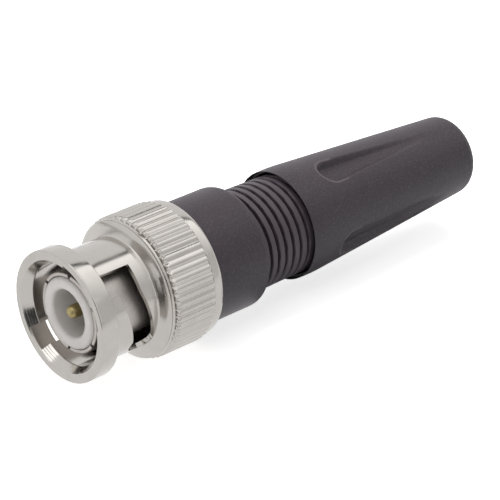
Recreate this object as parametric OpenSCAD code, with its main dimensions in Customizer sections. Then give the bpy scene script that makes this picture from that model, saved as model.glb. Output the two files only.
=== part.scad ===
// Bayonet coaxial cable plug with a threaded collar and a screw-on cable cap.
// The plug axis is X: the mouth opens towards -X at x = 0 and the cable leaves towards +X.
// Clock positions are degrees about +X, counted from +Y towards +Z.

/* [Coupling nut] */
// Length of the nut
nut_l = 14.5; // [12.5:0.05:16]
// Diameter of the bore that passes over the jack
nut_bore_d = 10.2; // [9.9:0.05:10.4]
// Diameter of the lead-in cone at the mouth
mouth_d = 11.3; // [10.8:0.05:11.8]
// Depth of the lead-in cone
mouth_depth = 0.95; // [0.3:0.05:1.4]
// Diameter of the front flange
flange_d = 13.2; // [12.2:0.05:14]
// Thickness of the front flange
flange_t = 1.94; // [1.5:0.02:2.5]
// Diameter of the neck behind the flange
neck_d = 11.1; // [10.9:0.05:11.4]
// Distance from the mouth to the shoulder of the grip
shoulder_x = 7.65; // [7.6:0.05:8.4]
// Diameter of the smooth bands beside the knurl
band_d = 14; // [13.6:0.05:14.2]
// Width of the smooth band in front of the knurl
front_band_w = 0.75; // [0.4:0.05:1.2]
// Rounding of the shoulder's outer edge
band_round = 0.6; // [0.2:0.05:0.7]
// Width of the smooth rim behind the knurl
rear_band_w = 1.5; // [0.8:0.05:1.8]
// Rounding of the rear rim's edge
rim_round = 0.4; // [0.15:0.05:0.5]
// Thickness of the lip at the rear that holds the nut on the body
lip_t = 0.75; // [0.5:0.05:1]

/* [Knurl] */
// Diameter across the knurl ridges
knurl_d = 14.4; // [14.3:0.05:15]
// Number of straight ridges
ridge_count = 56; // [40:1:70]
// Height of a ridge
ridge_h = 0.32; // [0.15:0.01:0.45]

/* [Bayonet slots] */
// Clock position of the first keyway
key_angle = 135; // [0:0.2:180]
// Width of a keyway
key_w = 2.4; // [2:0.05:2.6]
// Distance across the floors of the two keyways
key_d = 11.5; // [11.2:0.05:12]
// Distance from the mouth to the end of a keyway
key_end = 6; // [5.6:0.05:6.4]
// Width of the cam slot along the plug axis
slot_w = 2.5; // [2.2:0.05:2.8]
// Distance from the mouth to the middle of the cam slot at the keyway
slot_x = 4.38; // [4.1:0.02:4.6]
// How far the cam slot climbs away from the mouth
slot_rise = 1.78; // [1.5:0.02:1.9]
// Angle between a keyway and the locked position
slot_turn = 78; // [70:1:90]
// How far the locking pocket is set back towards the mouth
detent = 0.22; // [0.1:0.02:0.4]

/* [Contacts] */
// Outer diameter of the slotted contact sleeve
sleeve_d = 8.1; // [7.9:0.05:8.3]
// Wall of the contact sleeve
sleeve_wall = 0.4; // [0.3:0.02:0.5]
// Distance from the mouth to the front of the contact sleeve
sleeve_x = 1.2; // [0.8:0.05:2]
// Number of spring fingers in the contact sleeve
finger_count = 6; // [4:1:8]
// Width of the slits between the fingers
slit_w = 0.4; // [0.3:0.05:0.8]
// Length of the slits
slit_l = 2.2; // [1.6:0.1:7]
// Clock position of the first slit
slit_angle = 32.6; // [0:0.2:60]
// Distance from the mouth to the front of the insulator
insulator_x = 0.97; // [0.6:0.01:1.6]
// Rounding of the insulator's outer front edge
face_round = 0.5; // [0.2:0.05:0.8]
// Diameter of the open front of the insulator
cavity_d = 4.75; // [4.6:0.05:5.4]
// Rounding of the edge round the open front
cavity_round = 0.25; // [0.1:0.05:0.4]
// Depth of the open front of the insulator
cavity_depth = 5.4; // [4.5:0.1:6.5]
// Diameter of the centre pin
pin_d = 1.35; // [1.2:0.01:1.5]
// Distance from the mouth to the tip of the pin
pin_x = 1.1; // [1:0.05:2.5]
// Diameter of the pin's thick rear part, which ends in a solder cup
cup_d = 2.2; // [1.9:0.05:2.6]
// How far the solder cup stands out behind the insulator
cup_reach = 3.9; // [3:0.1:5]
// Diameter of the wire hole in the solder cup
wire_d = 1.2; // [0.8:0.05:1.4]
// Depth of the wire hole
wire_depth = 3.4; // [2.4:0.1:4]

/* [Plug body] */
// Thickness of the flange that the nut pulls on
body_flange_t = 0.6; // [0.4:0.05:1]
// Diameter of the barrel behind the flange
barrel_d = 8.8; // [8.65:0.05:9]
// How far the contact sleeve reaches into the body
sleeve_seat = 1.7; // [1.2:0.1:2.2]
// Length of the barrel inside the collar
barrel_l = 8.4; // [6:0.1:10]
// Diameter of the wiring room inside the body
wiring_d = 6.6; // [6.2:0.1:7]

/* [Seal and washers] */
// Thickness of the sealing ring
gasket_t = 0.8; // [0.6:0.05:1.2]
// Free height of the wave washer
wave_h = 0.65; // [0.55:0.05:0.9]
// Thickness of the wave washer's sheet
wave_t = 0.2; // [0.15:0.01:0.25]
// Number of waves round the wave washer
wave_count = 3; // [3:1:4]
// Thickness of the thrust washer
washer_t = 0.25; // [0.2:0.05:0.4]

/* [Threaded collar] */
// Diameter of the smooth part of the collar
collar_d = 12.5; // [11.8:0.05:13]
// Length of the smooth part of the collar
collar_l = 7.1; // [6:0.05:10]
// Rounding of the collar's rear edge
collar_round = 0.8; // [0.4:0.05:0.85]
// Diameter over the thread
thread_d = 10.6; // [10.4:0.02:10.7]
// Depth of the thread
thread_depth = 0.48; // [0.3:0.02:0.55]
// Pitch of the right-hand thread
thread_pitch = 1; // [0.8:0.05:1.2]
// Clock position where the groove's middle leaves the collar
thread_angle = 140; // [0:5:360]
// Length of the threaded stub
stub_l = 7.9; // [7.2:0.05:8]

/* [Screw cap] */
// Length of the cap
cap_l = 25.15; // [24:0.05:30]
// Length of thread that shows between collar and cap
thread_shown = 5.6; // [5.2:0.05:5.9]
// Diameter of the cap's front edge
cap_front_d = 11.2; // [11:0.05:11.4]
// Largest diameter of the cap
cap_d = 11.56; // [11.4:0.02:12.4]
// Distance from the front edge to the largest diameter
cap_nose_l = 1.2; // [0.6:0.1:2]
// Diameter that the cap tapers to at the tail
tail_d = 8.4; // [8.2:0.05:9.5]
// Rounding of the tail's edge
tail_round = 0.85; // [0.3:0.05:0.9]
// Depth of the wide bore that takes the thread
cap_thread_l = 3.7; // [3.3:0.05:4]
// Width of the chamfer inside the cap's front edge
cap_chamfer = 0.1; // [0.05:0.05:0.1]
// Number of finger flutes round the cap
flute_count = 4; // [3:1:6]
// Clock position of the first flute
flute_angle = 21; // [0:1:90]
// Distance from the cap's front end to the start of a flute
flute_x = 4.15; // [4.05:0.05:7]
// Width of a flute at its start
flute_w = 2.6; // [1.8:0.1:3]
// Width of a flute where it runs out
flute_tail_w = 1; // [0.6:0.1:1.6]
// Depth of a flute near its start
flute_depth = 0.6; // [0.3:0.05:0.65]
// Length over which a flute runs out
flute_run = 15.5; // [13:0.5:18]

/* [Cable clamp] */
// Diameter of the cable that the cap and clamp take
cable_d = 6.15; // [5.6:0.05:6.2]
// Wall of the clamp sleeve
clamp_wall = 0.75; // [0.6:0.05:0.85]
// Length of the cable bore in the cap's tail, behind the clamp
entry_l = 6.3; // [5.5:0.1:8]
// Length of the cone at the clamp's rear
clamp_cone_l = 2.6; // [2:0.1:3]
// Number of slits in the clamp
clamp_slits = 4; // [3:1:6]
// Width of the clamp's slits
clamp_slit_w = 0.7; // [0.4:0.05:1]
// Length of the clamp's slits
clamp_slit_l = 9; // [6:0.5:11]

/* [Clearances] */
// Radial clearance between the nut and what turns inside it
turn_gap = 0.12; // [0.08:0.01:0.15]
// Radial clearance of the cap over the thread
thread_gap = 0.08; // [0.05:0.01:0.12]
// Radial clearance of the cable in the cap and the clamp
cable_gap = 0.1; // [0.05:0.01:0.12]
// Radial clearance of pieces that are pushed together and stay
seat_gap = 0.02; // [0.01:0.01:0.04]
// Axial clearance between faces that move past each other
face_gap = 0.1; // [0.05:0.01:0.12]

/* [Hidden] */
$fn = 96;

nickel = "#c8c4bf";
brass = "#b29a5c";
ivory = "#e6e4df";
black_plastic = "#4a4248";
black_rubber = "#2b292b";

// Small edge breaks, and the overrun of cutters past the faces that they cut
edge = 0.15;
fillet = 0.4;
overrun = 0.5;

// Stations of the nut
lip_x = nut_l - lip_t;
grip_x = shoulder_x + front_band_w;
grip_l = nut_l - rear_band_w - grip_x;
knurl_root_d = knurl_d - 2 * ridge_h;
band_edge_r = min(band_round, front_band_w - face_gap);
slot_lead = slot_rise / slot_turn;
slot_step = 4;
wave_step = 7.5;

// Half widths of a knurl ridge at its foot and its top, as shares of the pitch
ridge_foot = 0.44;
ridge_top = 0.1;

// Half widths of the thread's groove and crest, as shares of the pitch, and points in each turn
groove_half = 0.1;
crest_half = 0.17;
turn_steps = 30;

// Stations of the body and of what sits on it, from the nut's lip forwards
washer_x = lip_x - washer_t;
wave_x = washer_x - face_gap - wave_h;
body_x = wave_x - body_flange_t;
gasket_x = body_x - gasket_t;
sleeve_end = body_x + sleeve_seat;
body_flange_d = nut_bore_d - 2 * turn_gap;
lip_bore_d = barrel_d + 2 * turn_gap;
washer_bore_d = barrel_d + 2 * turn_gap;
sleeve_bore_d = sleeve_d - 2 * sleeve_wall;
insulator_d = sleeve_bore_d - 2 * seat_gap;
insulator_end = sleeve_end;
cavity_end = insulator_x + cavity_depth;
cup_end = insulator_end + cup_reach;

// Stations of the collar, the cap and the clamp
collar_x = nut_l + face_gap;
barrel_end = collar_x + barrel_l;
collar_end = collar_x + collar_l;
stub_end = collar_end + stub_l;
thread_root_d = thread_d - 2 * thread_depth;
collar_edge_r = min(collar_round, (collar_d - thread_d) / 2 - seat_gap);
cable_bore_d = cable_d + 2 * cable_gap;
cap_x = collar_end + thread_shown;
cap_end = cap_x + cap_l;
cap_step_x = cap_x + cap_thread_l;
cap_bore_d = thread_d + 2 * thread_gap;
clamp_d = cable_bore_d + 2 * clamp_wall;
clamp_x = cap_step_x + face_gap;
clamp_stop_x = cap_end - entry_l;
clamp_end = clamp_stop_x - face_gap;
clamp_nose_d = cable_bore_d + clamp_wall;
clamp_room_d = clamp_d + 2 * cable_gap;
cap_slope = (cap_d - tail_d) / 2 / (cap_l - cap_nose_l);
tail_edge_r = min(tail_round, (tail_d - cable_bore_d) / 2 - edge - seat_gap);

// Points of a round corner in a profile of [radius, station] pairs
function arc(centre, r, from, to, steps = 8) =
    [for (i = [0:steps]) let (a = from + (to - from) * i / steps)
        centre + r * [cos(a), sin(a)]];

// Point at a radius, a clock position and a station
function polar(r, angle, x) = [x, r * cos(angle), r * sin(angle)];

// Solid of revolution about the plug axis, from [radius, station] pairs
module turned(profile) {
    rotate([0, 90, 0]) rotate_extrude() polygon(profile);
}

// Flat shape in the Y-Z plane, drawn out along the plug axis
module along_axis(x, l) {
    translate([x, 0, 0]) rotate([90, 0, 90]) linear_extrude(l) children();
}

// Plain ring between two radii
module ring(r_in, r_out, x, l) {
    turned([[r_in, x], [r_out, x], [r_out, x + l], [r_in, x + l]]);
}

// Solid with the same number of corners in each ring of points, open with flat ends or closed on itself
module skin(rings, closed = false) {
    m = len(rings);
    p = len(rings[0]);
    sides = [for (j = [0:(closed ? m : m - 1) - 1], k = [0:p - 1], t = [0, 1])
        let (a = j * p + k, b = j * p + (k + 1) % p)
        let (c = (j + 1) % m * p + (k + 1) % p, d = (j + 1) % m * p + k)
        t == 0 ? [a, b, c] : [a, c, d]];
    ends = closed ? [] : [[for (k = [0:p - 1]) p - 1 - k], [for (k = [0:p - 1]) (m - 1) * p + k]];
    polyhedron([for (r = rings) each r], concat(sides, ends));
}

// Outline across the knurl: one flat-topped ridge in each equal share of the circle
module knurl_outline() {
    root_r = knurl_root_d / 2 - edge;
    shape = [[root_r, -ridge_foot], [knurl_d / 2, -ridge_top],
             [knurl_d / 2, ridge_top], [root_r, ridge_foot]];
    polygon([for (i = [0:ridge_count - 1], s = shape)
        let (a = (i + s[1]) * 360 / ridge_count)
        s[0] * [cos(a), sin(a)]]);
}

// Straight keyway that lets a jack's stud in at the mouth
module keyway() {
    wall_in = nut_bore_d / 2 - overrun;
    rotate([key_angle, 0, 0])
        translate([-overrun, wall_in, -key_w / 2])
            cube([key_end + overrun, key_d / 2 - wall_in, key_w]);
}

// Helical slot through the neck, which draws the stud in as the nut is turned.
// Its two ends lie inside the keyway and the locking pocket.
module cam_slot() {
    wall_in = nut_bore_d / 2 - overrun;
    wall_out = neck_d / 2 + fillet + overrun;
    half = slot_w / 2;
    skin([for (a = [slot_step / 2:slot_step:slot_turn])
        let (x = slot_x + a * slot_lead, f = key_angle + a)
        [polar(wall_in, f, x - half), polar(wall_out, f, x - half),
         polar(wall_out, f, x + half), polar(wall_in, f, x + half)]]);
}

// Round pocket at the end of the cam slot, set back towards the mouth so that the stud stays in it
module locking_pocket() {
    wall_in = nut_bore_d / 2 - overrun;
    rotate([key_angle + slot_turn, 0, 0])
        translate([slot_x + slot_rise - detent, wall_in, 0])
            rotate([-90, 0, 0]) cylinder(d = slot_w + detent, h = neck_d / 2 + fillet + overrun - wall_in);
}

// Turned nut with its knurl, before the bayonet slots are cut
module nut_blank() {
    shoulder = arc([neck_d / 2 + fillet, shoulder_x - fillet], fillet, 180, 90);
    turned(concat(
        [[mouth_d / 2, 0], [flange_d / 2 - edge, 0], [flange_d / 2, edge],
         [flange_d / 2, flange_t - edge], [flange_d / 2 - edge, flange_t], [neck_d / 2, flange_t]],
        shoulder,
        arc([band_d / 2 - band_edge_r, shoulder_x + band_edge_r], band_edge_r, -90, 0),
        [[band_d / 2, grip_x], [knurl_root_d / 2, grip_x],
         [knurl_root_d / 2, grip_x + grip_l], [band_d / 2, grip_x + grip_l]],
        arc([band_d / 2 - rim_round, nut_l - rim_round], rim_round, 0, 90),
        [[lip_bore_d / 2, nut_l], [lip_bore_d / 2, lip_x],
         [nut_bore_d / 2, lip_x], [nut_bore_d / 2, mouth_depth]]));
    intersection() {
        along_axis(grip_x, grip_l) knurl_outline();
        turned([[nut_bore_d / 2 + edge, grip_x], [knurl_root_d / 2, grip_x],
                [knurl_d / 2, grip_x + ridge_h], [knurl_d / 2, grip_x + grip_l - ridge_h],
                [knurl_root_d / 2, grip_x + grip_l], [nut_bore_d / 2 + edge, grip_x + grip_l]]);
    }
}

// The same cut on both sides of the nut
module both_sides() {
    for (side = [0, 180])
        rotate([side, 0, 0]) children();
}

module coupling_nut() {
    color(nickel) difference() {
        difference() {
            difference() {
                nut_blank();
                both_sides() keyway();
            }
            both_sides() cam_slot();
        }
        both_sides() locking_pocket();
    }
}

module contact_sleeve() {
    color(nickel) difference() {
        turned([[sleeve_bore_d / 2, sleeve_x], [sleeve_d / 2 - edge, sleeve_x],
                [sleeve_d / 2, sleeve_x + 2 * edge],
                [sleeve_d / 2, sleeve_end], [sleeve_bore_d / 2, sleeve_end]]);
        for (i = [0:finger_count - 1])
            rotate([slit_angle + i * 360 / finger_count, 0, 0])
                translate([sleeve_x - overrun, sleeve_bore_d / 2 - overrun, -slit_w / 2])
                    cube([slit_l + overrun, sleeve_wall + 2 * overrun, slit_w]);
    }
}

module insulator() {
    color(ivory) turned(concat(
        arc([cavity_d / 2 + cavity_round, insulator_x + cavity_round], cavity_round, 180, 270),
        arc([insulator_d / 2 - face_round, insulator_x + face_round], face_round, 270, 360),
        [[insulator_d / 2, insulator_end], [cup_d / 2 + seat_gap, insulator_end],
         [cup_d / 2 + seat_gap, cavity_end], [cavity_d / 2, cavity_end]]));
}

module centre_pin() {
    tip = pin_d / 2;
    color(brass) difference() {
        turned(concat([[0, pin_x]],
            arc([0, pin_x + tip], tip, 270, 360),
            [[pin_d / 2, cavity_end], [cup_d / 2, cavity_end], [cup_d / 2, cup_end], [0, cup_end]]));
        translate([cup_end - wire_depth, 0, 0])
            rotate([0, 90, 0]) cylinder(d = wire_d, h = wire_depth + overrun);
        translate([cup_end - cup_reach / 2, -cup_d, 0])
            cube([cup_reach, 2 * cup_d, cup_d]);
    }
}

module plug_body() {
    color(nickel) turned(
        [[sleeve_d / 2, body_x], [body_flange_d / 2, body_x], [body_flange_d / 2, wave_x],
         [barrel_d / 2, wave_x], [barrel_d / 2, barrel_end - edge], [barrel_d / 2 - edge, barrel_end],
         [wiring_d / 2, barrel_end], [wiring_d / 2, sleeve_end], [sleeve_d / 2, sleeve_end]]);
}

module gasket() {
    bulge = gasket_t / 2;
    outer_r = body_flange_d / 2 - bulge;
    color(black_rubber) turned(concat(
        [[sleeve_d / 2 + seat_gap, body_x], [sleeve_d / 2 + seat_gap, gasket_x]],
        arc([outer_r, gasket_x + bulge], bulge, 270, 450)));
}

module wave_washer() {
    r_in = washer_bore_d / 2;
    r_out = body_flange_d / 2;
    swing = (wave_h - wave_t) / 2;
    color(nickel) skin([for (a = [0:wave_step:360 - wave_step])
        let (x = wave_x + swing * (1 - cos(wave_count * a)))
        [polar(r_in, a, x), polar(r_out, a, x), polar(r_out, a, x + wave_t), polar(r_in, a, x + wave_t)]],
        closed = true);
}

module thrust_washer() {
    color(nickel) ring(washer_bore_d / 2, body_flange_d / 2, washer_x, washer_t);
}

// Screw-shaped solid bar. Its skin is one helical strip with the thread's section:
// groove, flank, crest, flank.
// The crest sinks to the groove over the last stretch before the stub's end, as a lead-in chamfer.
// Each end is closed by a fan from a point on the axis.
module screw_bar(x, turns) {
    n = turn_steps;
    last = turns * n;
    section = [[0, groove_half], [1, 0.5 - crest_half], [1, 0.5 + crest_half], [0, 1 - groove_half]];
    points = [for (j = [0:last], s = section)
        let (turn = j / n, station = x + (turn + s[1]) * thread_pitch)
        let (rise = max(0, min(thread_depth, stub_end - station)))
        polar(thread_root_d / 2 + s[0] * rise, thread_angle + 360 * turn, station)];
    front = len(points);
    back = front + 1;
    apexes = [[x - thread_pitch, 0, 0], [x + (turns + 2) * thread_pitch, 0, 0]];
    strip = [for (j = [0:last - n - 1], k = [0:3], t = [0, 1])
        let (a = 4 * j + k, b = k < 3 ? a + 1 : 4 * (j + n), c = k < 3 ? a + 5 : 4 * (j + n + 1), d = a + 4)
        t == 0 ? [a, b, c] : [a, c, d]];
    first = 4 * (last - n);
    front_fan = concat([for (j = [0:n - 1]) [front, 4 * j, 4 * (j + 1)]],
        [for (k = [0:3]) [front, k < 3 ? k + 1 : 4 * n, k]]);
    back_fan = concat([for (j = [last - n:last - 1]) [back, 4 * (j + 1), 4 * j]],
        [for (k = [0:3]) [back, first + k, k < 3 ? first + k + 1 : 4 * last]]);
    polyhedron(concat(points, apexes), concat(strip, front_fan, back_fan));
}

module threaded_collar() {
    bar_turns = ceil(stub_l / thread_pitch) + 4;
    color(black_plastic) difference() {
        union() {
            turned(concat(
                [[0, collar_x], [collar_d / 2 - edge, collar_x], [collar_d / 2, collar_x + edge]],
                arc([collar_d / 2 - collar_edge_r, collar_end - collar_edge_r], collar_edge_r, 0, 90),
                [[0, collar_end]]));
            intersection() {
                screw_bar(collar_end - 2 * thread_pitch, bar_turns);
                translate([collar_end - overrun, 0, 0])
                    rotate([0, 90, 0]) cylinder(d = collar_d, h = stub_l + overrun);
            }
        }
        turned([[0, collar_x - overrun], [barrel_d / 2 + seat_gap, collar_x - overrun],
                [barrel_d / 2 + seat_gap, barrel_end], [wiring_d / 2, barrel_end],
                [wiring_d / 2, stub_end + overrun], [0, stub_end + overrun]]);
    }
}

module cable_clamp() {
    color(ivory) difference() {
        turned([[cable_bore_d / 2, clamp_x], [clamp_d / 2, clamp_x], [clamp_d / 2, clamp_end - clamp_cone_l],
                [clamp_nose_d / 2, clamp_end], [cable_bore_d / 2, clamp_end]]);
        for (i = [0:clamp_slits - 1])
            rotate([i * 360 / clamp_slits, 0, 0])
                translate([clamp_end - clamp_slit_l, 0, -clamp_slit_w / 2])
                    cube([clamp_slit_l + overrun, clamp_d, clamp_slit_w]);
    }
}

// Radius of the cap's taper at a distance from its front edge
function taper_r(along) = cap_d / 2 - cap_slope * (along - cap_nose_l);

// Finger flute with a round front end, which runs out towards the tail, at the clock position of +Y
module flute() {
    start_r = taper_r(flute_x) - flute_depth;
    end_r = taper_r(flute_x + flute_run);
    lean = atan((start_r - end_r) / flute_run);
    translate([cap_x + flute_x, start_r, 0])
        rotate([-90, 0, -lean])
            linear_extrude(2 * flute_depth)
                polygon(concat(arc([flute_w / 2, 0], flute_w / 2, 90, 270),
                               [[flute_run + overrun, -flute_tail_w / 2],
                                [flute_run + overrun, flute_tail_w / 2]]));
}

module screw_cap() {
    cone_x = clamp_stop_x - clamp_cone_l;
    tail_r = taper_r(cap_l - tail_edge_r);
    color(black_plastic) difference() {
        turned(concat(
            [[cap_bore_d / 2 + cap_chamfer, cap_x], [cap_front_d / 2, cap_x],
             [cap_d / 2, cap_x + cap_nose_l]],
            arc([tail_r - tail_edge_r, cap_end - tail_edge_r], tail_edge_r, 0, 90),
            [[cable_bore_d / 2 + edge, cap_end], [cable_bore_d / 2, cap_end - edge],
             [cable_bore_d / 2, clamp_stop_x + clamp_wall], [clamp_nose_d / 2 + cable_gap, clamp_stop_x],
             [clamp_room_d / 2, cone_x], [clamp_room_d / 2, cap_step_x],
             [cap_bore_d / 2, cap_step_x], [cap_bore_d / 2, cap_x + cap_chamfer]]));
        for (i = [0:flute_count - 1])
            rotate([flute_angle + i * 360 / flute_count, 0, 0]) flute();
    }
}

coupling_nut();
contact_sleeve();
insulator();
centre_pin();
plug_body();
gasket();
wave_washer();
thrust_washer();
threaded_collar();
cable_clamp();
screw_cap();
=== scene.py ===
import math

import bmesh
import bpy
import numpy as np
from mathutils import Matrix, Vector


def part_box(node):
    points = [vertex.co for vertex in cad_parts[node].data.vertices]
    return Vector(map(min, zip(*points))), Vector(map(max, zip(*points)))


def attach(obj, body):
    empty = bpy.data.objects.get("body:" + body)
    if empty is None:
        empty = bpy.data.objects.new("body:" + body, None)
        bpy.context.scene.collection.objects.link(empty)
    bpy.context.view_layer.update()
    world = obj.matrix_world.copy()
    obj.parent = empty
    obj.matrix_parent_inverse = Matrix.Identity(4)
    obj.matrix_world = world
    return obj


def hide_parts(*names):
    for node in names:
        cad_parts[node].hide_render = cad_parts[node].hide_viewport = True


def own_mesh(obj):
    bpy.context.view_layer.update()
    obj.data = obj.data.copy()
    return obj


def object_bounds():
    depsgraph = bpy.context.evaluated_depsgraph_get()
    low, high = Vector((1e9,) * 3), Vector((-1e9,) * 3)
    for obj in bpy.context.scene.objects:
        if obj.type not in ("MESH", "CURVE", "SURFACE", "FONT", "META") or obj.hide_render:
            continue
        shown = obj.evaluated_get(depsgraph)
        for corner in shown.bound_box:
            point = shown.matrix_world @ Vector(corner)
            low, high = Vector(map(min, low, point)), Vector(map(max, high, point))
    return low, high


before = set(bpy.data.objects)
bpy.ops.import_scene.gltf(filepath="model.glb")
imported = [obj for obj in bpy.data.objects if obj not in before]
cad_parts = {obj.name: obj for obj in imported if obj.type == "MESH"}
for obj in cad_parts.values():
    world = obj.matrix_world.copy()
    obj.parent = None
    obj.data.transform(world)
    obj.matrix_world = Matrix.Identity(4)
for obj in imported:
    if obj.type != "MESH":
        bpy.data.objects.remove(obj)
cad_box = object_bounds()

# Plug body: the core that every other piece sits on, turned from brass rod and nickel plated.
# The contact sleeve is pressed into its front, and the collar grips its barrel.
MM = 0.001
body_front, body_rear = (corner.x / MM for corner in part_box("plug_body"))
body_flange_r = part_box("plug_body")[1].z / MM
body_flange_end = body_front + 0.6
body_barrel_r = 4.4
body_wiring_r = 3.3
sleeve_front, sleeve_rear = (corner.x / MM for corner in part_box("contact_sleeve"))
sleeve_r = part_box("contact_sleeve")[1].z / MM
corner_points = 4
pole_gap = 1e-8
sharp_angle = math.radians(50)


def rounded(corners, points=corner_points):
    """Rounds a closed profile. Each corner is (station, radius, reach) in mm, and becomes the curve
    p + reach ((1 - t)^2 a + t^2 b), where p is the corner, a and b are unit vectors along its two sides,
    and t runs from 0 to 1 over the points."""
    corners = np.array(corners, float)
    p, reach = corners[:, None, :2], corners[:, None, 2:]
    before = np.roll(p, 1, 0) - p
    after = np.roll(p, -1, 0) - p
    before /= np.linalg.norm(before, axis=2, keepdims=True)
    after /= np.linalg.norm(after, axis=2, keepdims=True)
    t = np.linspace(0, 1, points)[None, :, None]
    return (p + reach * ((1 - t) ** 2 * before + t**2 * after)).reshape(-1, 2)


def even_columns(count):
    """Clock angles of evenly spaced columns, from +Y towards +Z."""
    return np.arange(count) * 2 * np.pi / count


def ring_surface(x, r, phi, joined=True, opening=None):
    """Points and faces of a skin about X: row k and column i lie at station x, radius r and clock angle phi.
    The rows run rearwards over the outside and forwards along the bore, and the last joins the first.
    An opening is (outer rows, matching inner rows, cells to leave out), with walls from outside to bore."""
    x, r, phi = np.broadcast_arrays(x, r, phi)
    rows, cols = x.shape
    points = np.stack([x, r * np.cos(phi), r * np.sin(phi)], -1).reshape(-1, 3) * MM
    at = np.arange(rows * cols).reshape(rows, cols)
    beside = np.roll(at, -1, 1)
    skin = np.stack([at, beside, np.roll(beside, -1, 0), np.roll(at, -1, 0)], -1)
    keep = np.ones((rows, cols), bool)
    keep[-1] = joined
    walls = []
    if opening:
        outer, inner, is_open = opening
        keep[outer[:-1]] &= ~is_open
        keep[inner[1:]] &= ~is_open
        open_front = is_open[:1] & ((outer[0] - inner[0]) % rows == 1)
        open_rear = is_open[-1:] & (inner[-1] - outer[-1] == 1)
        keep[-1] &= ~open_front[0]
        keep[outer[-1]] &= ~open_rear[0]
        lines = np.concatenate([open_front, is_open, open_rear])
        out_a, out_b, in_a, in_b = at[outer], beside[outer], at[inner], beside[inner]
        walls.append(np.stack([out_a, out_b, in_b, in_a], -1)[~lines[:-1] & lines[1:]])
        walls.append(np.stack([out_a, in_a, in_b, out_b], -1)[lines[:-1] & ~lines[1:]])
        sides = np.stack([out_a[:-1], in_a[:-1], in_a[1:], out_a[1:]], -1)
        left = np.roll(is_open, 1, 1)
        walls.append(sides[~left & is_open])
        walls.append(sides[left & ~is_open][:, ::-1])
    faces = np.concatenate([skin[keep].reshape(-1, 4), *walls])
    used, faces = np.unique(faces, return_inverse=True)
    return points[used], faces.reshape(-1, 4)


def new_piece(name, surface, material, soft_edge=0.0):
    """Makes the object of a surface: poles merged, and smooth but for sharp edges.
    A soft edge, in mm, rounds those."""
    points, faces = surface
    mesh = bpy.data.meshes.new(name)
    mesh.from_pydata(points, [], faces.tolist())
    merged = bmesh.new()
    merged.from_mesh(mesh)
    bmesh.ops.remove_doubles(merged, verts=merged.verts, dist=pole_gap)
    merged.to_mesh(mesh)
    merged.free()
    mesh.polygons.foreach_set("use_smooth", np.ones(len(mesh.polygons), bool))
    mesh.set_sharp_from_angle(angle=sharp_angle)
    mesh.materials.append(material)
    piece = bpy.data.objects.new(name, mesh)
    bpy.context.scene.collection.objects.link(piece)
    if soft_edge:
        bevel = piece.modifiers.new("soft edge", "BEVEL")
        bevel.width = soft_edge * MM
        bevel.segments = 2
        bevel.limit_method = "ANGLE"
        bevel.angle_limit = sharp_angle
        bevel.harden_normals = True
    return piece


def linear(srgb_hex):
    """Linear colour of an sRGB hex value."""
    part = np.array([int(srgb_hex[i:i + 2], 16) for i in (1, 3, 5)]) / 255
    part = np.where(part <= 0.04045, part / 12.92, ((part + 0.055) / 1.055) ** 2.4)
    return (*part, 1)


def add(tree, kind, settings=None, inputs=None):
    """Adds a node with its settings, and gives each of its inputs a value or another node's output."""
    node = tree.nodes.new(kind)
    for key, value in (settings or {}).items():
        setattr(node, key, value)
    for key, value in (inputs or {}).items():
        if isinstance(value, bpy.types.NodeSocket):
            tree.links.new(value, node.inputs[key])
        else:
            node.inputs[key].default_value = value
    return node


def bare_tree(owner):
    """The node tree of a material or a world, emptied."""
    owner.use_nodes = True
    owner.node_tree.nodes.clear()
    return owner.node_tree


def new_material(name, metallic, roughness):
    """A material with one Principled shader, its tree, that shader, and the object's coordinates."""
    material = bpy.data.materials.new(name)
    tree = bare_tree(material)
    shader = add(tree, "ShaderNodeBsdfPrincipled", None, {"Metallic": metallic, "Roughness": roughness})
    add(tree, "ShaderNodeOutputMaterial", None, {"Surface": shader.outputs["BSDF"]})
    place = add(tree, "ShaderNodeTexCoord").outputs["Object"]
    return material, tree, shader, place


# A Mix node that takes colours has its two colours and its result at these sockets
first, second, mixed = 6, 7, 2

# Bright nickel plate on turned brass: a warm light grey mirror, slightly hazy.
# The lathe leaves fine rings, which follow station less radius and are drawn coarse enough to show.
nickel_plate, tree, shader, place = new_material("bright_nickel_plate", 1.0, 0.15)
axes = add(tree, "ShaderNodeSeparateXYZ", None, {"Vector": place})
across = add(tree, "ShaderNodeCombineXYZ", None, {"Y": axes.outputs["Y"], "Z": axes.outputs["Z"]})
radius = add(tree, "ShaderNodeVectorMath", {"operation": "LENGTH"}, {0: across.outputs["Vector"]})
along = add(tree, "ShaderNodeMath", {"operation": "SUBTRACT"},
            {0: axes.outputs["X"], 1: radius.outputs["Value"]})
rings = add(tree, "ShaderNodeTexNoise", {"noise_dimensions": "1D"},
            {"W": along.outputs["Value"], "Scale": 1 / (0.14 * MM), "Detail": 2.0})
haze = add(tree, "ShaderNodeTexNoise", None, {"Vector": place, "Scale": 1 / (1.6 * MM), "Detail": 4.0})
tone = add(tree, "ShaderNodeMix", {"data_type": "RGBA"},
           {"Factor": haze.outputs["Fac"], first: linear("#b7b3ae"), second: linear("#c4c0bb")})
blur = add(tree, "ShaderNodeMapRange", None,
           {"Value": haze.outputs["Fac"], "From Min": 0.3, "From Max": 0.7, "To Min": 0.11, "To Max": 0.19})
relief = add(tree, "ShaderNodeBump", None,
             {"Strength": 1.0, "Distance": 0.0016 * MM, "Height": rings.outputs["Fac"]})
tree.links.new(tone.outputs[mixed], shader.inputs["Base Color"])
tree.links.new(blur.outputs["Result"], shader.inputs["Roughness"])
tree.links.new(relief.outputs["Normal"], shader.inputs["Normal"])

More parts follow.
